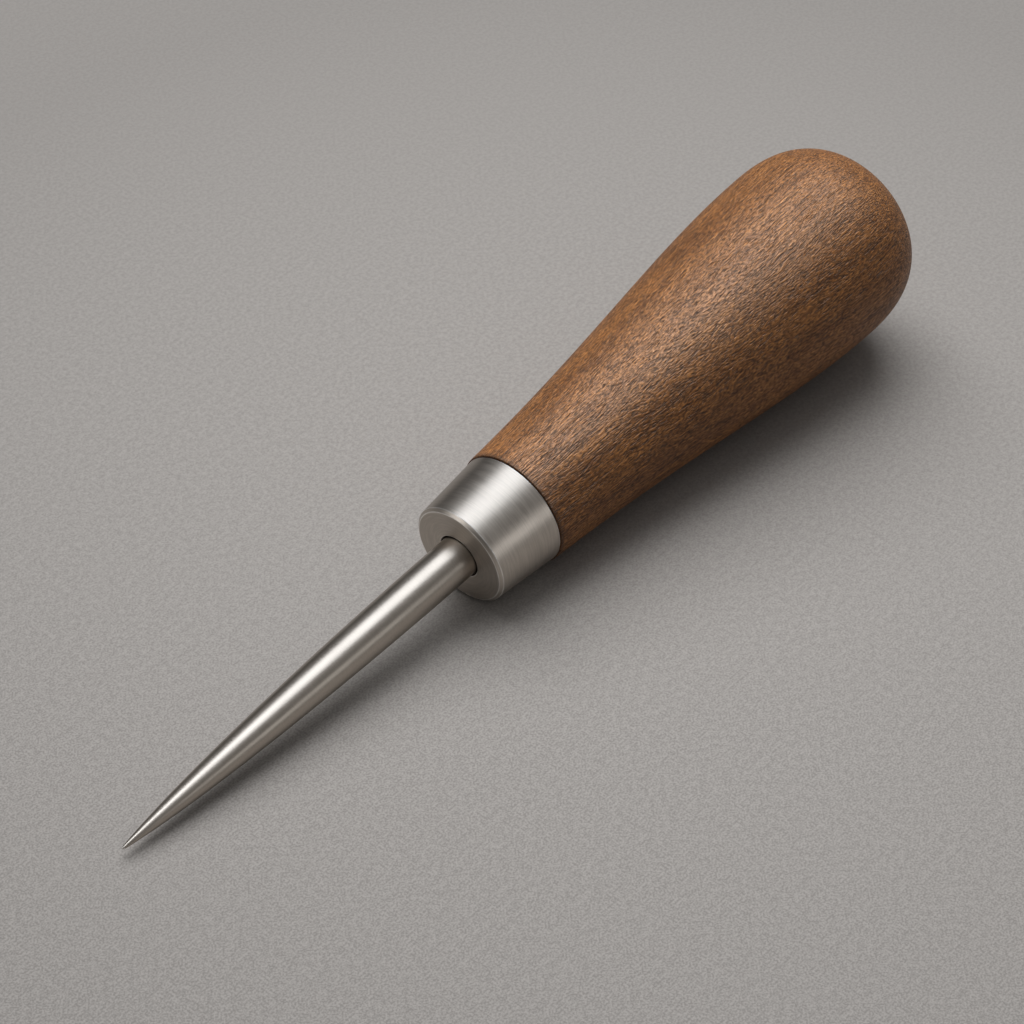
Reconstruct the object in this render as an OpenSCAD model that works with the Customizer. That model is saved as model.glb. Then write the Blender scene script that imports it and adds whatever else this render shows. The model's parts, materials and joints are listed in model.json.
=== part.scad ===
// Round-bladed bradawl: a turned wooden handle, a steel ferrule and a tanged steel blade.
// The three pieces are drawn upright about one axis, point down, and then laid on their side
// the way the tool lies on a bench: on the belly of the handle and on its front shoulder.

/* [Blade] */
// Length of blade that stands out of the ferrule
blade_len = 66.2; // [50:0.1:90]
// Diameter of the parallel root of the blade
blade_d = 6.5; // [5:0.1:8]
// Diameter of the blunted tip
point_d = 0.24; // [0.1:0.02:0.6]
// Length of the parallel root in front of the ferrule
root_len = 4; // [2:0.5:12]
// Thickness of the collar trapped inside the ferrule
collar_len = 2; // [1.5:0.1:3]
// Length of the square tang inside the handle
tang_len = 34; // [20:1:45]
// Width of the tang at the collar
tang_root_w = 4.2; // [3:0.1:5]
// Width of the tang at its end
tang_end_w = 2.4; // [1.5:0.1:3]

/* [Ferrule] */
// Length of the ferrule
ferrule_len = 11.6; // [9:0.1:18]
// Diameter at the front face, before the chamfer
ferrule_front_d = 16.2; // [15:0.1:20]
// Diameter at the rear rim
ferrule_rear_d = 18.2; // [16:0.1:22]
// Thickness of the front wall
ferrule_front_wall = 2; // [1.5:0.1:3]
// Thickness of the side wall at the front
ferrule_side_wall = 1; // [0.8:0.1:1.5]
// Chamfer round the front face
front_chamfer = 0.45; // [0.2:0.05:0.7]
// Broken edge round the rear rim
rim_break = 0.15; // [0.05:0.05:0.4]

/* [Handle] */
// Length of wood behind the ferrule
handle_len = 82.2; // [70:0.1:110]
// Diameter of the belly
belly_d = 31.2; // [26:0.1:38]
// Distance of the belly from the end of the handle
butt_len = 14.4; // [9:0.1:20]
// Height of the wood above the ferrule's rim
shoulder_step = 0.4; // [0.2:0.1:1.5]
// Radius of the front edge of the wood
shoulder_round = 0.3; // [0.1:0.05:1.5]
// Broken edge of the spigot
spigot_break = 0.4; // [0.2:0.1:0.8]

/* [Fits] */
// Gap round the blade in the ferrule's hole
hole_gap = 0.25; // [0.1:0.05:0.5]
// Gap round the collar in the ferrule
collar_gap = 0.6; // [0.2:0.1:1]
// Gap round the spigot in the ferrule
spigot_gap = 0.03; // [0.01:0.01:0.1]
// Gap round the tang in the handle
tang_gap = 0.05; // [0.02:0.01:0.15]
// Room beyond the end of the tang
socket_room = 0.8; // [0.3:0.1:2]

/* [Hidden] */

// Facets of a full turn, points on a curve and the overrun of a cut
$fn = 96;
curve_steps = 32;
overrun = 0.5;

// The blade's curve: how far its two handles reach along the taper, and how wide the first one is
ogive_point_share = 0.275;
ogive_width_share = 0.91;
ogive_root_share = 0.90;

// The handle's curve from shoulder to belly: reach and rise of the first handle, reach of the last
neck_reach_share = 0.43;
neck_rise_share = 0.265;
belly_reach_share = 0.28;

// The butt's curve: how far the belly runs on, and how flat the end is
butt_side_share = 0.54;
butt_end_share = 0.825;

// Places along the axis, from the tip
ferrule_z = blade_len;
collar_z = ferrule_z + ferrule_front_wall;
seat_z = collar_z + collar_len;
shoulder_z = ferrule_z + ferrule_len;
neck_z = shoulder_z + shoulder_round;
end_z = shoulder_z + handle_len;
belly_z = end_z - butt_len;
taper_len = blade_len - root_len;
swell_len = belly_z - neck_z;

// Radii about the axis
point_r = point_d / 2;
blade_r = blade_d / 2;
hole_r = blade_r + hole_gap;
front_r = ferrule_front_d / 2;
rear_r = ferrule_rear_d / 2;
bore_r = front_r - ferrule_side_wall;
collar_r = bore_r - collar_gap;
spigot_r = bore_r - spigot_gap;
shoulder_r = rear_r + shoulder_step;
belly_r = belly_d / 2;

// Radius of the ferrule's cone at a distance from its front face
function cone_r(z) = front_r + (rear_r - front_r) * z / ferrule_len;

// Width of the tang at a distance from the collar
function tang_w(z) = tang_root_w + (tang_end_w - tang_root_w) * z / tang_len;

// Points of a cubic curve from a to d, pulled towards b and then c
function curve(a, b, c, d) = [
    for (i = [0 : curve_steps])
        let (t = i / curve_steps, s = 1 - t)
            s * s * s * a + 3 * s * s * t * b + 3 * s * t * t * c + t * t * t * d
];

// Points of an arc from one angle to another
function arc(centre, radius, from, to) = [
    for (i = [0 : curve_steps])
        let (angle = from + (to - from) * i / curve_steps)
            centre + radius * [cos(angle), sin(angle)]
];

// Outline of the tapered blade, from the tip to its parallel root
blade_side = curve(
    [point_r, 0],
    [blade_r * ogive_width_share, taper_len * ogive_point_share],
    [blade_r, taper_len * ogive_root_share],
    [blade_r, taper_len]
);

// Outline of the wood: rounded front edge, swell from neck to belly, and domed butt
shoulder_side = arc([shoulder_r - shoulder_round, neck_z], shoulder_round, -90, 0);
swell_side = curve(
    [shoulder_r, neck_z],
    [
        shoulder_r + (belly_r - shoulder_r) * neck_rise_share,
        neck_z + swell_len * neck_reach_share
    ],
    [belly_r, belly_z - swell_len * belly_reach_share],
    [belly_r, belly_z]
);
butt_side = curve(
    [belly_r, belly_z],
    [belly_r, belly_z + butt_len * butt_side_share],
    [belly_r * butt_end_share, end_z],
    [0, end_z]
);

// The tool lies on the line that touches the front shoulder and the belly
front_touch = concat(shoulder_side, [swell_side[1], swell_side[2], swell_side[3]]);
rear_touch = concat([for (p = swell_side) if (p[1] > (neck_z + belly_z) / 2) p], butt_side);
rest_tilt = atan(min([
    for (p = front_touch)
        max([for (q = rear_touch) (q[0] - p[0]) / (q[1] - p[1])])
]));

// Lift to the bench, and shift that centres the length
rest_lift = max([for (p = rear_touch) p[0] * cos(rest_tilt) - p[1] * sin(rest_tilt)]);
reach_rear = max([for (p = butt_side) p[1] * cos(rest_tilt) + p[0] * sin(rest_tilt)]);
reach_front = -point_r * sin(rest_tilt);
rest_shift = -(reach_front + reach_rear) / 2;

// Turns the upright tool on its side, with the point to the left
module laid_down() {
    translate([rest_shift, 0, rest_lift])
        rotate([0, 90 - rest_tilt, 0])
            children();
}

// Square tapered bar between two distances from the collar's rear face, wider all round by a gap
module tang_bar(start, finish, gap) {
    start_w = tang_w(start) + 2 * gap;
    finish_w = tang_w(finish) + 2 * gap;
    translate([0, 0, seat_z + start])
        linear_extrude(height = finish - start, scale = finish_w / start_w)
            square(start_w, center = true);
}

// Turned handle: spigot for the ferrule, square socket for the tang, pear-shaped grip
module handle() {
    outline = concat(
        [
            [0, seat_z],
            [spigot_r - spigot_break, seat_z],
            [spigot_r, seat_z + spigot_break],
            [spigot_r, shoulder_z]
        ],
        shoulder_side,
        [for (i = [1 : curve_steps]) swell_side[i]],
        [for (i = [1 : curve_steps]) butt_side[i]]
    );
    color("sienna")
        laid_down()
            difference() {
                rotate_extrude()
                    polygon(outline);
                tang_bar(-overrun, tang_len + socket_room, tang_gap);
            }
}

// Turned ferrule: a tapered cup with a chamfered front face and a hole for the blade
module ferrule() {
    outline = [
        [hole_r, ferrule_z],
        [front_r - front_chamfer, ferrule_z],
        [cone_r(front_chamfer), ferrule_z + front_chamfer],
        [cone_r(ferrule_len - rim_break), shoulder_z - rim_break],
        [rear_r - rim_break, shoulder_z],
        [bore_r, shoulder_z],
        [bore_r, collar_z],
        [hole_r, collar_z]
    ];
    color("silver")
        laid_down()
            rotate_extrude()
                polygon(outline);
}

// Ground blade: ogival point, parallel root, collar behind the ferrule's wall and square tang
module blade() {
    outline = concat(
        [[0, 0]],
        blade_side,
        [
            [blade_r, collar_z],
            [collar_r, collar_z],
            [collar_r, seat_z],
            [0, seat_z]
        ]
    );
    color("lightgray")
        laid_down()
            union() {
                rotate_extrude()
                    polygon(outline);
                tang_bar(-collar_len / 2, tang_len, 0);
            }
}

handle();
ferrule();
blade();
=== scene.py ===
import json

import bpy
import numpy as np
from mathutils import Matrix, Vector


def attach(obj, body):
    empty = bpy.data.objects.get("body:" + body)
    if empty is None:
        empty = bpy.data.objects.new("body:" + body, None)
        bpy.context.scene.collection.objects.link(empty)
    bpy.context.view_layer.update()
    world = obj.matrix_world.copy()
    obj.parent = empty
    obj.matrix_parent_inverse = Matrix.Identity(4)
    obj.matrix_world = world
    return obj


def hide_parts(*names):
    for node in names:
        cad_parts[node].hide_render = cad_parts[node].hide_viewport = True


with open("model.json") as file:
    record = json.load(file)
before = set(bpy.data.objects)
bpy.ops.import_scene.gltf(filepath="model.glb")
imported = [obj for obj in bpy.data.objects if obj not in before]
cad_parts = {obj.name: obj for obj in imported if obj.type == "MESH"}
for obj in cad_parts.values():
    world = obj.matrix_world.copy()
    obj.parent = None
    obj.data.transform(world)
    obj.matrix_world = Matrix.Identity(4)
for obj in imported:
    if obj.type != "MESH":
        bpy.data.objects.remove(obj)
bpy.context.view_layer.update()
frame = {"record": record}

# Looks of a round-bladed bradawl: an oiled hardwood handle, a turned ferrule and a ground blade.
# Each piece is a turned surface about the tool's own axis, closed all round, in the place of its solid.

MM = 0.001

# Blade, in millimetres along the axis and across it
BLADE_LEN = 66.2
BLADE_R = 3.25
POINT_R = 0.2
NOSE_LEN = 0.3
ROOT_LEN = 4.0
COLLAR_LEN = 2.0
TANG_LEN = 34.0
TANG_ROOT_W = 4.2
TANG_END_W = 2.4
OGIVE_POINT_SHARE = 0.275
OGIVE_WIDTH_SHARE = 0.91
OGIVE_ROOT_SHARE = 0.90

# Ferrule
FERRULE_LEN = 11.6
FERRULE_FRONT_R = 8.1
FERRULE_REAR_R = 9.1
FERRULE_FRONT_WALL = 2.0
FERRULE_SIDE_WALL = 1.0
FRONT_CHAMFER = 0.45
RIM_BREAK = 0.15

# Handle
HANDLE_LEN = 82.2
BELLY_R = 15.6
BUTT_LEN = 14.4
SHOULDER_STEP = 0.2
SHOULDER_ROUND = 0.15
SPIGOT_BREAK = 0.4
NECK_REACH_SHARE = 0.43
NECK_RISE_SHARE = 0.265
BELLY_REACH_SHARE = 0.28
BUTT_SIDE_SHARE = 0.54
BUTT_END_SHARE = 0.825

# Gaps between the pieces
HOLE_GAP = 0.25
COLLAR_GAP = 0.6
SPIGOT_GAP = 0.03
TANG_GAP = 0.05
SOCKET_ROOM = 0.8

# Edges: radius that a corner is eased to, and distance of the ring that keeps its flats flat
EASE = 0.1
FRONT_EASE = 0.22
RIM_EASE = 0.14
TINY_EASE = 0.05
GUARD = 0.06

# Turn per millimetre that counts as a full edge, and least length of a direction that still counts as one
EDGE_BEND = 3.0
LEAST_LENGTH = 1e-9

# Points on each stretch of an outline, and columns round the axis
NOSE_POINTS = 9
TAPER_POINTS = 160
SHOULDER_POINTS = 17
SWELL_POINTS = 150
BUTT_POINTS = 80
EASE_POINTS = 7
HANDLE_COLUMNS = 192
FERRULE_COLUMNS = 192
BLADE_COLUMNS = 128

# Wood patterns: length along the grain and width across it, in millimetres
LONG_WAVE = (34, 10)
SHORT_WAVE = (3.5, 1.1)
STREAK = (55, 2.4)
FIBRE = (6, 0.26)
LINE = (9, 0.24)
PORE = (0.65, 0.16)

# How far the waves shift the grain, the tree's pith beside the tool, and the width of a year's ring
LONG_REACH = 1.6
SHORT_REACH = 0.12
PITH = (0, -26, -34)
RING_WIDTH = 1.7

# Wood colour: shares of its patterns in the tone, the stretch of noise each look takes up, and its browns
RING_SHARE = 0.15
STREAK_SHARE = 0.25
FIBRE_SHARE = 0.6
TONE_STRETCH = (0.36, 0.64)
LINE_STRETCH = (0.3, 0.39)
PORE_STRETCH = (0.32, 0.68)
PORE_SHADE = (0.3, 1.7)
LINE_STRENGTH = 0.8
WOOD_DARK = (0.1, 0.033, 0.0065, 1)
WOOD_LIGHT = (0.36, 0.15, 0.042, 1)
LINE_BROWN = (0.06, 0.021, 0.005, 1)

# Stain and painted shade behind the ferrule, darkening the wood by the joint: where it starts to fade and
# where it ends, in millimetres, and its strength
STAIN_SHADE_START = 0.1
STAIN_SHADE_END = 0.9
STAIN_SHADE_STRENGTH = 0.6
STAIN_SHADE_BROWN = (0.04, 0.016, 0.007, 1)

# Wood surface: depth of its relief in millimetres, what each pattern adds, and roughness from pore to ridge
WOOD_RELIEF = 0.1
FIBRE_RISE = 0.8
LINE_RISE = -0.5
PORE_RISE = 1.0
WOOD_ROUGH = (0.62, 0.38)
WOOD_SPECULAR = 0.4

# Steel: two tones, roughness, width and depth of a turned mark in millimetres, and marks round the axis
FERRULE_FINISH = {
    "dark": (0.43, 0.388, 0.344, 1),
    "light": (0.52, 0.469, 0.416, 1),
    "rough": 0.34,
    "line_width": 0.2,
    "line_depth": 0.004,
    "marks_round": 2.5,
}
BLADE_FINISH = {
    "dark": (0.44, 0.392, 0.341, 1),
    "light": (0.48, 0.427, 0.372, 1),
    "rough": 0.305,
    "line_width": 0.16,
    "line_depth": 0.0004,
    "marks_round": 4.0,
}

# Both steels: size of the clouds, how they break up a bare edge and its painted glint, and what adds to the
# roughness
CLOUD = (5, 3.5)
CLOUD_STRETCH = (0.3, 0.7)
MARK_STRETCH = (0.3, 0.7)
BARE_GLINT_STRETCH = (0.3, 0.6)
BARE_GLINT_STRENGTH = (0.3, 0.7)
# Painted glint on bare edges: the near-white colour that the edges are mixed towards.
BARE_STEEL_GLINT = (0.95, 0.93, 0.9, 1)
CLOUD_ROUGH = 0.02
MARK_ROUGH = 0.06
FACE_STRETCH = (0.8, 1.0)
FACE_ROUGH = 0.14
MARK_STRENGTH = 0.2

# Floor: half its width in metres, and its drop below the tool in millimetres
FLOOR_HALF = 3.0
FLOOR_DROP = 0.01

# Floor's painted pool of light, which darkens the floor away from the tool: its middle and the distance of
# full fade, in millimetres, and the least that is left
LIGHT_POOL_MIDDLE = (22.0, -1.0, 0.0)
LIGHT_POOL_LEN = 320.0
LIGHT_POOL_LEAST = 0.82

# Floor's tooth: towards the viewer it goes from soft to crisp between two distances, in millimetres
FRONT_DIRECTION = (-0.746, -0.666, 0.0)
TOOTH_SOFT = -110.0
TOOTH_CRISP = 40.0
TOOTH_CONTRAST = (0.27, 1.2)
TOOTH_STRETCH = (0.3, 0.7)
CRISP_GRAIN = 0.3
BLURRED_GRAIN = 0.55
SOFT_GRAIN = 1.1
FINE_SHARE = 0.75
SOFT_SHARE = 0.25
FLOOR_DARK = (0.313, 0.297, 0.285, 1)
FLOOR_LIGHT = (0.449, 0.428, 0.411, 1)
FLOOR_ROUGH = 0.9

# Camera: direction and view angle, and in millimetres its distance, target, nearest view and sensor width
CAMERA_AZIMUTH = np.radians(-48.28)
CAMERA_ELEVATION = np.radians(42.50)
CAMERA_VIEW = np.radians(18)
CAMERA_DISTANCE = 476.9
CAMERA_TARGET = (4.84, 6.53, 0.0)
CAMERA_NEAR = 10.0
SENSOR_WIDTH = 36.0

# Light: tints of the panels, and tint, strength overhead and least strength of the sky
WARM = (1, 0.91, 0.81)
WARMER = (1, 0.87, 0.73)
COOL = (0.92, 1, 1.1)
WHITE = (1, 1, 1)
SKY_TINT = (1, 0.985, 0.97, 1)
SKY_OVERHEAD = 0.33
SKY_LEAST = 0.02

# Places along the axis and radii that follow
FERRULE_S = BLADE_LEN
COLLAR_S = FERRULE_S + FERRULE_FRONT_WALL
SEAT_S = COLLAR_S + COLLAR_LEN
SHOULDER_S = FERRULE_S + FERRULE_LEN
NECK_S = SHOULDER_S + SHOULDER_ROUND
END_S = SHOULDER_S + HANDLE_LEN
BELLY_S = END_S - BUTT_LEN
TAPER_LEN = BLADE_LEN - ROOT_LEN
SWELL_LEN = BELLY_S - NECK_S
HOLE_R = BLADE_R + HOLE_GAP
BORE_R = FERRULE_FRONT_R - FERRULE_SIDE_WALL
COLLAR_R = BORE_R - COLLAR_GAP
SPIGOT_R = BORE_R - SPIGOT_GAP
SHOULDER_R = FERRULE_REAR_R + SHOULDER_STEP

# Tool's axes in the frame: from the point to the butt, sideways, and upwards across it
face = next(m for m in frame["record"]["mounts"] if m["name"] == "ferrule_face")
AXIS = -np.array(face["axis"], float)
AXIS /= np.linalg.norm(AXIS)
SIDE = np.array([0.0, 1.0, 0.0])
UP = np.cross(AXIS, SIDE)

# Tip and tilt of the axis; the mount lies beside the axis, so its sideways place is dropped
TIP = np.array(face["pos_m"]) * [1, 0, 1] - AXIS * BLADE_LEN * MM
TILT = float(np.arctan2(AXIS[2], AXIS[0]))


def cubic(controls, count):
    """Cubic curve: the four control points weighted by the Bernstein shares of t, from 0 to 1."""
    t = np.linspace(0, 1, count)[:, None]
    a, b, c, d = np.array(controls, float)
    return (1 - t) ** 3 * a + 3 * (1 - t) ** 2 * t * b + 3 * (1 - t) * t**2 * c + t**3 * d


def eased(corners, closed=False):
    """Outline through corners (place, radius, ease): each gives way to the arc that touches both its sides.

    From the start of the arc, a point lies ease * sin(a) along the first side and ease * (1 - cos(a))
    towards the second one, for a from zero to the turn. One guard point lies before the arc and one after it.
    """
    corners = np.array(corners, float)
    point, ease = corners[:, :2], corners[:, 2:]
    before = point - np.roll(point, 1, axis=0)
    before /= np.linalg.norm(before, axis=1, keepdims=True)
    after = np.roll(before, -1, axis=0)
    cos_turn = np.clip((before * after).sum(1, keepdims=True), -1, 1)
    turn = np.arccos(cos_turn)
    inward = after - cos_turn * before
    inward /= np.maximum(np.linalg.norm(inward, axis=1, keepdims=True), LEAST_LENGTH)
    reach = ease * np.tan(turn / 2)
    angle = turn[:, None] * np.linspace(0, 1, EASE_POINTS)[None, :, None]
    arc = (point - reach * before)[:, None] + ease[:, None] * (
        np.sin(angle) * before[:, None] + (1 - np.cos(angle)) * inward[:, None]
    )
    first = (point - (reach + GUARD) * before)[:, None]
    last = (point + (reach + GUARD) * after)[:, None]
    rows = np.concatenate([first, arc, last], axis=1)
    if closed:
        return rows.reshape(-1, 2)
    return np.vstack([point[:1], rows[1:-1].reshape(-1, 2), point[-1:]])


def bar(start, finish, gap):
    """Side of a square tapered bar between two distances from the collar: half its width, plus a gap."""
    slope = (TANG_END_W - TANG_ROOT_W) / TANG_LEN
    width = TANG_ROOT_W + slope * np.array([start, finish])
    return np.c_[SEAT_S + np.array([start, finish]), width / 2 + gap]


def marked(outline, square):
    """Outline rows (place, radius, squareness): squareness is zero on round rows, one on square ones."""
    return np.c_[outline, np.full(len(outline), float(square))]


def blade_outline():
    """Rounded nose, ogive that swells to the parallel root, collar, and square tapered tang.

    The nose is the ogive's radius times the height of a circle, which is the square root of 1 - (1 - t)^2.
    """
    side = cubic(
        [
            (0, POINT_R),
            (TAPER_LEN * OGIVE_POINT_SHARE, BLADE_R * OGIVE_WIDTH_SHARE),
            (TAPER_LEN * OGIVE_ROOT_SHARE, BLADE_R),
            (TAPER_LEN, BLADE_R),
        ],
        TAPER_POINTS,
    )
    nose = np.linspace(0, 1, NOSE_POINTS)[:, None] ** 2 * NOSE_LEN
    nose_round = np.sqrt(1 - (1 - nose / NOSE_LEN) ** 2)
    nose = np.c_[nose, np.interp(nose, side[:, 0], side[:, 1]) * nose_round]
    side = side[side[:, 0] > NOSE_LEN]
    root = eased(
        [
            (TAPER_LEN, BLADE_R, 0),
            (COLLAR_S, BLADE_R, TINY_EASE),
            (COLLAR_S, COLLAR_R, EASE),
            (SEAT_S, COLLAR_R, EASE),
            (SEAT_S, TANG_ROOT_W, 0),
        ]
    )[1:]
    turned = np.vstack([nose, side, root])
    tang = np.vstack([bar(0, TANG_LEN, 0), [(SEAT_S + TANG_LEN, 0)]])
    return np.vstack([marked(turned, 0), marked(tang, 1)])


def ferrule_outline():
    """Closed outline of a tapered cup: chamfered front face, cone, rear rim, bore, and the blade's hole."""
    slope = (FERRULE_REAR_R - FERRULE_FRONT_R) / FERRULE_LEN
    outline = eased(
        [
            (FERRULE_S, HOLE_R, EASE),
            (FERRULE_S, FERRULE_FRONT_R - FRONT_CHAMFER, FRONT_EASE),
            (FERRULE_S + FRONT_CHAMFER, FERRULE_FRONT_R + slope * FRONT_CHAMFER, FRONT_EASE),
            (SHOULDER_S - RIM_BREAK, FERRULE_REAR_R - slope * RIM_BREAK, RIM_EASE),
            (SHOULDER_S, FERRULE_REAR_R - RIM_BREAK, TINY_EASE),
            (SHOULDER_S, BORE_R, TINY_EASE),
            (COLLAR_S, BORE_R, TINY_EASE),
            (COLLAR_S, HOLE_R, TINY_EASE),
        ],
        closed=True,
    )
    return marked(outline, 0)


def handle_outline():
    """Square socket from bottom to mouth, spigot, rounded shoulder, swell to the belly, and domed butt.

    The shoulder is a quarter circle, from the front face of the wood to its side.
    """
    socket = bar(0, TANG_LEN + SOCKET_ROOM, TANG_GAP)[::-1]
    bottom = [(SEAT_S + TANG_LEN + SOCKET_ROOM, 0)]
    mouth_w = socket[-1, 1] * 2
    spigot = eased(
        [
            (SEAT_S, mouth_w, 0),
            (SEAT_S, SPIGOT_R - SPIGOT_BREAK, EASE),
            (SEAT_S + SPIGOT_BREAK, SPIGOT_R, EASE),
            (SHOULDER_S, SPIGOT_R, TINY_EASE),
            (SHOULDER_S, SHOULDER_R - SHOULDER_ROUND, 0),
        ]
    )
    turn = np.linspace(0, np.pi / 2, SHOULDER_POINTS)
    shoulder = np.c_[
        NECK_S - SHOULDER_ROUND * np.cos(turn),
        SHOULDER_R - SHOULDER_ROUND + SHOULDER_ROUND * np.sin(turn),
    ]
    swell = cubic(
        [
            (NECK_S, SHOULDER_R),
            (
                NECK_S + SWELL_LEN * NECK_REACH_SHARE,
                SHOULDER_R + (BELLY_R - SHOULDER_R) * NECK_RISE_SHARE,
            ),
            (BELLY_S - SWELL_LEN * BELLY_REACH_SHARE, BELLY_R),
            (BELLY_S, BELLY_R),
        ],
        SWELL_POINTS,
    )
    butt = cubic(
        [
            (BELLY_S, BELLY_R),
            (BELLY_S + BUTT_LEN * BUTT_SIDE_SHARE, BELLY_R),
            (END_S, BELLY_R * BUTT_END_SHARE),
            (END_S, 0),
        ],
        BUTT_POINTS,
    )
    inner = np.vstack([bottom, socket])
    outer = np.vstack([spigot, shoulder[1:], swell[1:], butt[1:]])
    return np.vstack([marked(inner, 1), marked(outer, 0)])


def lathe(name, outline, columns, closed=False):
    """Turned surface on a grid of rows and angles a: tip + s * axis + reach * (cos(a) * up + sin(a) * side).

    The reach is the row's radius, divided on square rows by the larger of |cos(a)| and |sin(a)|. A row of
    zero radius is one point, the pole. The attribute along is the length of the outline up to the row, in
    millimetres. The attribute edge is how sharply the outline turns outwards at the row, up to one. The
    attribute flat is the sine of the outline's slope there, which is one on a face square to the axis.
    """
    s, r, square = outline.T
    step = np.hypot(np.diff(s), np.diff(r))
    along = np.r_[0, np.cumsum(step)]
    heading = np.unwrap(np.arctan2(np.diff(r), np.diff(s)))
    bend = -np.diff(heading) / (step[1:] + step[:-1]) * 2
    edge = np.r_[0, np.clip(bend / EDGE_BEND, 0, 1), 0]
    slope = abs(np.sin(heading))
    flat = np.minimum(np.r_[slope[:1], slope], np.r_[slope, slope[-1:]])
    angle = np.linspace(0, 2 * np.pi, columns, endpoint=False)
    cos, sin = np.cos(angle), np.sin(angle)
    corner = 1 / np.maximum(abs(cos), abs(sin)) - 1
    reach = r[:, None] * (1 + square[:, None] * corner)
    around = cos[:, None] * UP + sin[:, None] * SIDE
    point = TIP + MM * (s[:, None, None] * AXIS + reach[..., None] * around)

    rows = len(outline)
    pole = r == 0
    counts = np.where(pole, 1, columns)
    starts = np.r_[0, np.cumsum(counts)[:-1]]
    index = starts[:, None] + np.where(pole[:, None], 0, np.arange(columns))
    keep = ~pole[:, None] | (np.arange(columns) == 0)
    i = np.arange(rows if closed else rows - 1)[:, None]
    j = np.arange(columns)
    next_i = (i + 1) % rows
    next_j = (j + 1) % columns
    quad = np.stack([index[i, j], index[next_i, j], index[next_i, next_j], index[i, next_j]], -1)
    quad = quad.reshape(-1, 4)
    first_pole = quad[:, 0] == quad[:, 3]
    last_pole = quad[:, 1] == quad[:, 2]
    faces = quad[~first_pole & ~last_pole].tolist()
    faces += quad[first_pole][:, [0, 1, 2]].tolist()
    faces += quad[last_pole][:, [0, 1, 3]].tolist()

    mesh = bpy.data.meshes.new(name)
    mesh.from_pydata(point[keep].tolist(), [], faces)
    for key, row_value in (("along", along), ("edge", edge), ("flat", flat)):
        attribute = mesh.attributes.new(key, "FLOAT", "POINT")
        grid = np.repeat(row_value[:, None], columns, axis=1)
        attribute.data.foreach_set("value", grid[keep].astype(np.float32))
    mesh.shade_smooth()
    mesh.validate()
    piece = bpy.data.objects.new(name, mesh)
    bpy.context.scene.collection.objects.link(piece)
    return piece


class Shader:
    """A node tree being wired: add() places a node, sets its fields and inputs, and returns its output."""

    def __init__(self, tree):
        self.tree = tree

    def fill(self, node, inputs):
        for key, value in inputs.items():
            if isinstance(value, bpy.types.NodeSocket):
                self.tree.links.new(value, node.inputs[key])
            else:
                node.inputs[key].default_value = value

    def add(self, kind, inputs=None, out=0, **fields):
        node = self.tree.nodes.new(kind)
        for field, value in fields.items():
            setattr(node, field, value)
        self.fill(node, inputs or {})
        return node.outputs[out] if node.outputs else node

    def group(self, shared, inputs):
        """Outputs of a shared group that is placed here with these inputs."""
        node = self.tree.nodes.new("ShaderNodeGroup")
        node.node_tree = shared
        self.fill(node, inputs)
        return node.outputs

    def attribute(self, name):
        return self.add("ShaderNodeAttribute", out=2, attribute_name=name)

    def math(self, operation, a, b=0.0):
        return self.add("ShaderNodeMath", {0: a, 1: b}, operation=operation)

    def vector(self, operation, *inputs, out=0):
        return self.add("ShaderNodeVectorMath", dict(enumerate(inputs)), out=out, operation=operation)

    def total(self, *parts):
        """Sum of values, each times its share."""
        whole = 0.0
        for value, share in parts:
            whole = self.math("ADD", whole, self.math("MULTIPLY", value, share))
        return whole

    def span(self, value, start, finish=(0.0, 1.0), smooth=False):
        """Value carried from one stretch to another, held at the ends."""
        kind = "SMOOTHSTEP" if smooth else "LINEAR"
        inputs = {
            "Value": value,
            "From Min": start[0],
            "From Max": start[1],
            "To Min": finish[0],
            "To Max": finish[1],
        }
        return self.add("ShaderNodeMapRange", inputs, interpolation_type=kind)

    def blend(self, factor, a, b, mode="MIX"):
        inputs = {0: factor, 6: a, 7: b}
        return self.add("ShaderNodeMix", inputs, out=2, data_type="RGBA", blend_type=mode)

    def noise(self, place, size=(1, 1), detail=2.0, rough=0.5, out=0):
        """Noise whose grain has a length along the first axis and a width across it."""
        along, across = size
        place = self.vector("MULTIPLY", place, (1 / along, 1 / across, 1 / across))
        inputs = {"Vector": place, "Scale": 1.0, "Detail": detail, "Roughness": rough}
        return self.add("ShaderNodeTexNoise", inputs, out=out)

    def sway(self, place, size, reach):
        """Place shifted across the tool by a noise of that size, up to about half the reach each way."""
        shift = self.vector("SUBTRACT", self.noise(place, size, out=1), (0.5, 0.5, 0.5))
        shift = self.vector("MULTIPLY", shift, (0, 2 * reach, 2 * reach))
        return self.vector("ADD", place, shift)

    def tool_place(self):
        """Millimetres along the tool from its tip, sideways, and upwards across it."""
        shift = np.array([TIP @ AXIS, TIP @ SIDE, TIP @ UP]) / -MM
        inputs = {
            "Vector": self.add("ShaderNodeTexCoord", out=3),
            "Location": tuple(shift),
            "Rotation": (0, TILT, 0),
            "Scale": (1 / MM, 1 / MM, 1 / MM),
        }
        return self.add("ShaderNodeMapping", inputs)


def new_material(name):
    """Empty material: its shader tree, and a function that wires the Principled shader to the output."""
    material = bpy.data.materials.new(name)
    material.use_nodes = True
    material.node_tree.nodes.clear()
    tree = Shader(material.node_tree)

    def finish(**inputs):
        named = {key.replace("_", " "): value for key, value in inputs.items()}
        surface = tree.add("ShaderNodeBsdfPrincipled", named)
        tree.add("ShaderNodeOutputMaterial", {"Surface": surface})
        return material

    return tree, finish


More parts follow.
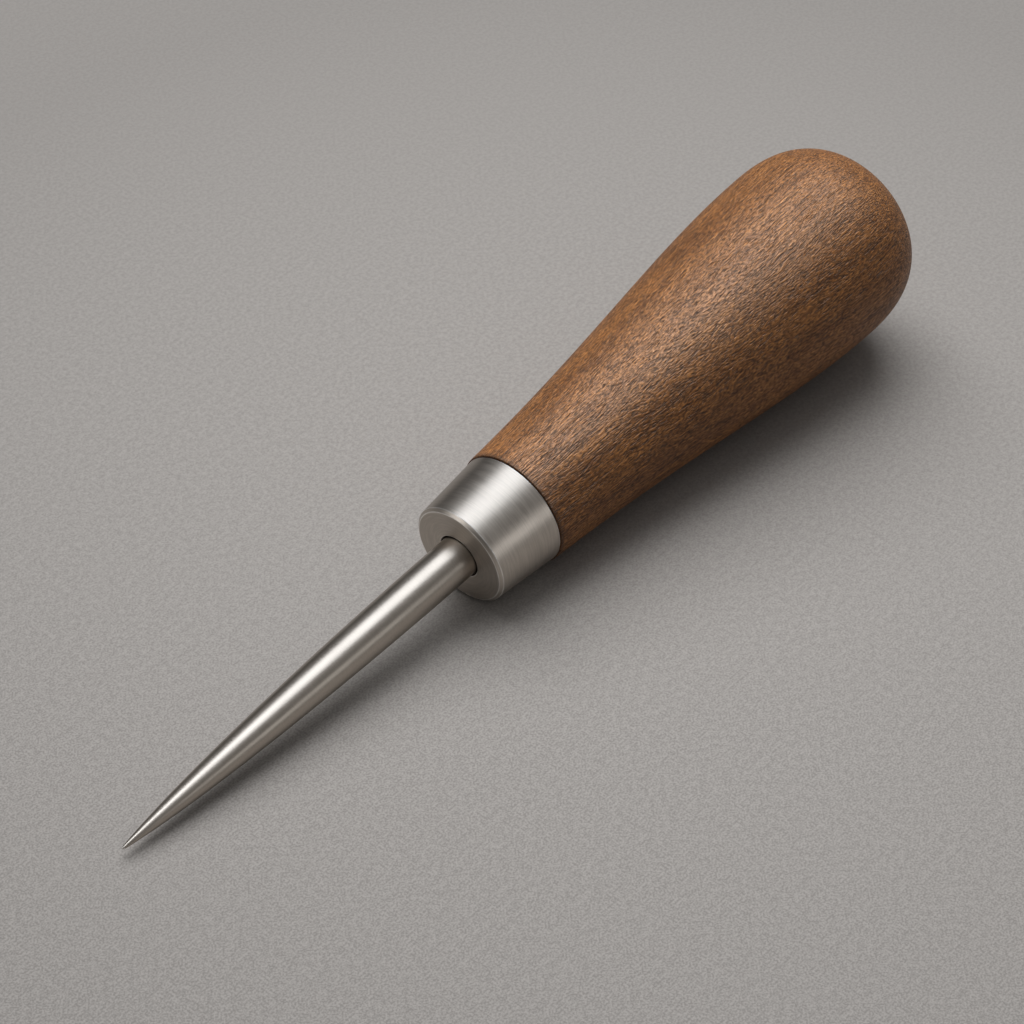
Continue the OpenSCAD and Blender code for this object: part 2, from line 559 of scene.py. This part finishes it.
def oiled_hardwood():
    """Straight-grained hardwood: noise stretched along the tool, which runs as lines along the grip.

    The same noise shows as speckles where the dome cuts across the grain. Rings, streaks and fibres set the
    tone between two browns. Pores fleck it and roughen it, and dark lines run through it. Fibres, pores and
    lines together make the relief.
    """
    tree, finish = new_material("oiled_hardwood")
    place = tree.tool_place()
    grain = tree.sway(place, LONG_WAVE, LONG_REACH)
    grain = tree.sway(grain, SHORT_WAVE, SHORT_REACH)

    from_pith = tree.vector("MULTIPLY", tree.vector("SUBTRACT", grain, PITH), (0, 1, 1))
    ring = tree.math("DIVIDE", tree.vector("LENGTH", from_pith, out=1), RING_WIDTH)
    ring = tree.add("ShaderNodeTexNoise", {"W": ring, "Scale": 1.0, "Detail": 3.0}, noise_dimensions="1D")
    streak = tree.noise(grain, STREAK, detail=3, rough=0.6)
    fibre = tree.noise(grain, FIBRE, detail=1, rough=0.7)
    pore = tree.noise(grain, PORE, detail=1, rough=0.4)
    line = tree.span(tree.noise(grain, LINE, detail=1), LINE_STRETCH, (1.0, 0.0), smooth=True)

    tone = tree.total((ring, RING_SHARE), (streak, STREAK_SHARE), (fibre, FIBRE_SHARE))
    colour = tree.blend(tree.span(tone, TONE_STRETCH), WOOD_DARK, WOOD_LIGHT)
    colour = tree.blend(1.0, colour, tree.span(pore, PORE_STRETCH, PORE_SHADE), "MULTIPLY")
    colour = tree.blend(tree.math("MULTIPLY", line, LINE_STRENGTH), colour, LINE_BROWN)
    # Stain and painted shade: the wood just behind the ferrule is darkened, strongest at the joint and fading
    # out within a millimetre.
    along = tree.add("ShaderNodeSeparateXYZ", {0: place})
    stain_shade_fade = (SHOULDER_S + STAIN_SHADE_START, SHOULDER_S + STAIN_SHADE_END)
    stain_and_shade = tree.span(along, stain_shade_fade, (STAIN_SHADE_STRENGTH, 0.0), smooth=True)
    colour = tree.blend(stain_and_shade, colour, STAIN_SHADE_BROWN)

    height = tree.total((fibre, FIBRE_RISE), (line, LINE_RISE), (pore, PORE_RISE))
    normal = tree.add("ShaderNodeBump", {"Strength": 1.0, "Distance": WOOD_RELIEF * MM, "Height": height})
    rough = tree.span(pore, PORE_STRETCH, WOOD_ROUGH)
    return finish(Base_Color=colour, Roughness=rough, Normal=normal, Specular_IOR_Level=WOOD_SPECULAR)


def turned_marks():
    """Group of the fine marks that turning and grinding leave round the axis, and of the bare bright edges.

    The marks are noise on (along / line width, unit vector away from the axis * marks round), so each runs
    round the piece for part of a turn. A second, broad noise gives cloudy patches. Its last output is the
    edge, broken by the clouds: worn bare steel, lightened by a painted glint.
    """
    group = bpy.data.node_groups.new("turned_marks", "ShaderNodeTree")
    wanted = {
        "Place": "NodeSocketVector",
        "Along": "NodeSocketFloat",
        "Edge": "NodeSocketFloat",
        "Line Width": "NodeSocketFloat",
        "Marks Round": "NodeSocketFloat",
    }
    for name, kind in wanted.items():
        group.interface.new_socket(name, in_out="INPUT", socket_type=kind)
    for name in ("Shade", "Height", "Cloud", "Bare Glint"):
        group.interface.new_socket(name, in_out="OUTPUT", socket_type="NodeSocketFloat")
    tree = Shader(group)
    given = group.nodes.new("NodeGroupInput").outputs
    away = tree.vector("NORMALIZE", tree.vector("MULTIPLY", given["Place"], (0, 1, 1)))
    away = tree.add("ShaderNodeVectorMath", {0: away, "Scale": given["Marks Round"]}, operation="SCALE")
    line = tree.math("DIVIDE", given["Along"], given["Line Width"])
    line = tree.add("ShaderNodeCombineXYZ", {"X": line})
    marks = tree.noise(tree.vector("ADD", away, line), detail=1)
    cloud = tree.noise(given["Place"], CLOUD, detail=3, rough=0.6)
    shade = tree.span(marks, MARK_STRETCH)
    bare_glint = tree.math("MULTIPLY", given["Edge"], tree.span(cloud, BARE_GLINT_STRETCH, BARE_GLINT_STRENGTH))
    tree.add("NodeGroupOutput", {"Shade": shade, "Height": marks, "Cloud": cloud, "Bare Glint": bare_glint})
    return group


def steel(name, marks, dark, light, rough, line_width, line_depth, marks_round):
    """Satin steel: turned marks vary its colour between two tones, its roughness and its relief.

    Edges are bare and carry a painted glint that makes them brighter. Clouds, marks and faces square to the
    axis change the roughness.
    """
    tree, finish = new_material(name)
    inputs = {
        "Place": tree.tool_place(),
        "Along": tree.attribute("along"),
        "Edge": tree.attribute("edge"),
        "Line Width": line_width,
        "Marks Round": marks_round,
    }
    mark = tree.group(marks, inputs)
    colour = tree.blend(mark["Shade"], dark, light)
    # Bare edges: worn steel, mixed towards a near-white colour as a painted glint along each edge.
    colour = tree.blend(mark["Bare Glint"], colour, BARE_STEEL_GLINT)
    patchy = tree.span(mark["Cloud"], CLOUD_STRETCH, (rough - CLOUD_ROUGH, rough + CLOUD_ROUGH))
    patchy = tree.math("ADD", patchy, tree.math("MULTIPLY", mark["Shade"], MARK_ROUGH))
    faced = tree.span(tree.attribute("flat"), FACE_STRETCH, (0.0, FACE_ROUGH), smooth=True)
    patchy = tree.math("ADD", patchy, faced)
    relief = {"Strength": MARK_STRENGTH, "Distance": line_depth * MM, "Height": mark["Height"]}
    normal = tree.add("ShaderNodeBump", relief)
    return finish(Base_Color=colour, Metallic=1.0, Roughness=patchy, Normal=normal)


def floor_paper():
    """Pale paper with a tooth that is crisp in front of the tool and soft behind it.

    A painted pool of light: its tone falls off with the square of the distance from the tool, down to a least
    share.
    """
    tree, finish = new_material("floor_paper")
    place = tree.add("ShaderNodeTexCoord", out=3)
    forward = tree.vector("DOT_PRODUCT", place, FRONT_DIRECTION, out=1)
    near = tree.span(forward, (TOOTH_SOFT * MM, TOOTH_CRISP * MM))
    crisp = tree.noise(place, (CRISP_GRAIN * MM, CRISP_GRAIN * MM), detail=1)
    blurred = tree.noise(place, (BLURRED_GRAIN * MM, BLURRED_GRAIN * MM), detail=1)
    soft = tree.noise(place, (SOFT_GRAIN * MM, SOFT_GRAIN * MM))
    fine = tree.add("ShaderNodeMix", {0: near, 2: blurred, 3: crisp})
    tooth = tree.span(tree.total((fine, FINE_SHARE), (soft, SOFT_SHARE)), TOOTH_STRETCH, smooth=True)
    contrast = tree.span(near, (0.0, 1.0), TOOTH_CONTRAST)
    tooth = tree.math("MULTIPLY", tree.math("SUBTRACT", tooth, 0.5), contrast)
    colour = tree.blend(tree.math("ADD", tooth, 0.5), FLOOR_DARK, FLOOR_LIGHT)
    # Painted pool of light: the floor's colour darkens with the square of the distance from a spot near the
    # tool.
    light_pool_middle = tuple(value * MM for value in LIGHT_POOL_MIDDLE)
    distance = tree.vector("DISTANCE", place, light_pool_middle, out=1)
    distance = tree.math("DIVIDE", distance, LIGHT_POOL_LEN * MM)
    light_pool = tree.math("SUBTRACT", 1.0, tree.math("MULTIPLY", distance, distance))
    colour = tree.blend(1.0, colour, tree.math("MAXIMUM", light_pool, LIGHT_POOL_LEAST), "MULTIPLY")
    return finish(Base_Color=colour, Roughness=FLOOR_ROUGH)


def place_piece(piece, node, material):
    """Gives a piece its material and puts it in the place of a CAD node."""
    piece.data.materials.append(material)
    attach(piece, "root")
    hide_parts(node)


def softbox(name, towards, distance, size, radiance, diffuse=True, glossy=True, tint=WHITE, only=()):
    """Square soft light of an even radiance that faces the object, if wanted on some pieces only.

    It stands in a direction at a distance, in metres. Its power is radiance * pi * the square of its side.
    """
    direction = Vector(towards).normalized()
    data = bpy.data.lights.new(name, "AREA")
    data.shape = "SQUARE"
    data.size = size
    data.color = tint
    data.energy = radiance * np.pi * size**2
    light = bpy.data.objects.new(name, data)
    light.location = direction * distance
    light.rotation_euler = direction.to_track_quat("Z", "Y").to_euler()
    light.visible_camera = False
    light.visible_diffuse = diffuse
    light.visible_glossy = glossy
    bpy.context.scene.collection.objects.link(light)
    if only:
        lit = bpy.data.collections.new(f"{name}_pieces")
        for piece in only:
            lit.objects.link(piece)
        light.light_linking.receiver_collection = lit


def panel(name, towards, distance, size, radiance, only, tint=WHITE):
    """Soft light that shows only as a reflection on some pieces."""
    softbox(name, towards, distance, size, radiance, diffuse=False, tint=tint, only=only)


# Pieces
marks = turned_marks()
ferrule_steel = steel("turned_steel", marks, **FERRULE_FINISH)
blade_steel = steel("ground_steel", marks, **BLADE_FINISH)
handle = lathe("turned_handle", handle_outline(), HANDLE_COLUMNS)
ferrule = lathe("turned_ferrule", ferrule_outline(), FERRULE_COLUMNS, closed=True)
blade = lathe("ground_blade", blade_outline(), BLADE_COLUMNS)
place_piece(handle, "handle", oiled_hardwood())
place_piece(ferrule, "ferrule", ferrule_steel)
place_piece(blade, "blade", blade_steel)

# Floor
corner = np.array([(-1, -1, 0), (1, -1, 0), (1, 1, 0), (-1, 1, 0)]) * FLOOR_HALF
floor_mesh = bpy.data.meshes.new("floor")
floor_mesh.from_pydata(corner.tolist(), [], [(0, 1, 2, 3)])
floor = bpy.data.objects.new("floor", floor_mesh)
floor.location.z = -FLOOR_DROP * MM
floor_mesh.materials.append(floor_paper())
bpy.context.scene.collection.objects.link(floor)

# Camera
back = Vector((
    np.sin(CAMERA_AZIMUTH) * np.cos(CAMERA_ELEVATION),
    -np.cos(CAMERA_AZIMUTH) * np.cos(CAMERA_ELEVATION),
    np.sin(CAMERA_ELEVATION),
))
camera_data = bpy.data.cameras.new("camera")
camera_data.sensor_width = SENSOR_WIDTH
camera_data.lens = SENSOR_WIDTH / 2 / np.tan(CAMERA_VIEW / 2)
camera_data.clip_start = CAMERA_NEAR * MM
camera = bpy.data.objects.new("camera", camera_data)
camera.location = (Vector(CAMERA_TARGET) + back * CAMERA_DISTANCE) * MM
camera.rotation_euler = (-back).to_track_quat("-Z", "Y").to_euler()
bpy.context.scene.collection.objects.link(camera)
bpy.context.scene.camera = camera

# Lights, with their distance and side in metres
softbox("key_light", towards=(0.27, 0.416, 0.868), distance=2.0, size=2.04, radiance=3.65, glossy=False)
panel(
    "wood_panel", towards=(0.28, 0.09, 0.96), distance=1.1, size=0.84, radiance=9.4,
    only=(handle,), tint=WARM,
)
panel(
    "butt_panel", towards=(0.76, 0.08, 0.64), distance=1.1, size=0.6, radiance=2.6,
    only=(handle,), tint=WARMER,
)
panel(
    "steel_panel", towards=(0.32, 0.17, 0.94), distance=1.1, size=0.84, radiance=2.45,
    only=(ferrule, blade), tint=COOL,
)
panel(
    "tip_panel", towards=(-0.19, 0.15, 0.97), distance=1.1, size=0.5, radiance=2.3,
    only=(blade,), tint=COOL,
)
panel(
    "edge_panel", towards=(-0.8, 0.4, 0.43), distance=1.0, size=0.45, radiance=2.2,
    only=(ferrule, blade),
)
panel(
    "ferrule_card", towards=(0.25, -0.92, 0.26), distance=0.8, size=0.28, radiance=1.6,
    only=(ferrule,),
)
panel(
    "blade_card", towards=(0.25, -0.92, 0.26), distance=0.8, size=0.28, radiance=1.0,
    only=(blade,),
)

# Sky: brightest overhead
world = bpy.data.worlds.new("studio")
bpy.context.scene.world = world
world.use_nodes = True
world.node_tree.nodes.clear()
sky = Shader(world.node_tree)
height = sky.add("ShaderNodeSeparateXYZ", {0: sky.add("ShaderNodeTexCoord")}, out=2)
level = sky.math("MAXIMUM", sky.math("MULTIPLY", height, SKY_OVERHEAD), SKY_LEAST)
background = sky.add("ShaderNodeBackground", {"Color": SKY_TINT, "Strength": level})
sky.add("ShaderNodeOutputWorld", {"Surface": background})

bpy.context.scene.view_settings.view_transform = "Standard"
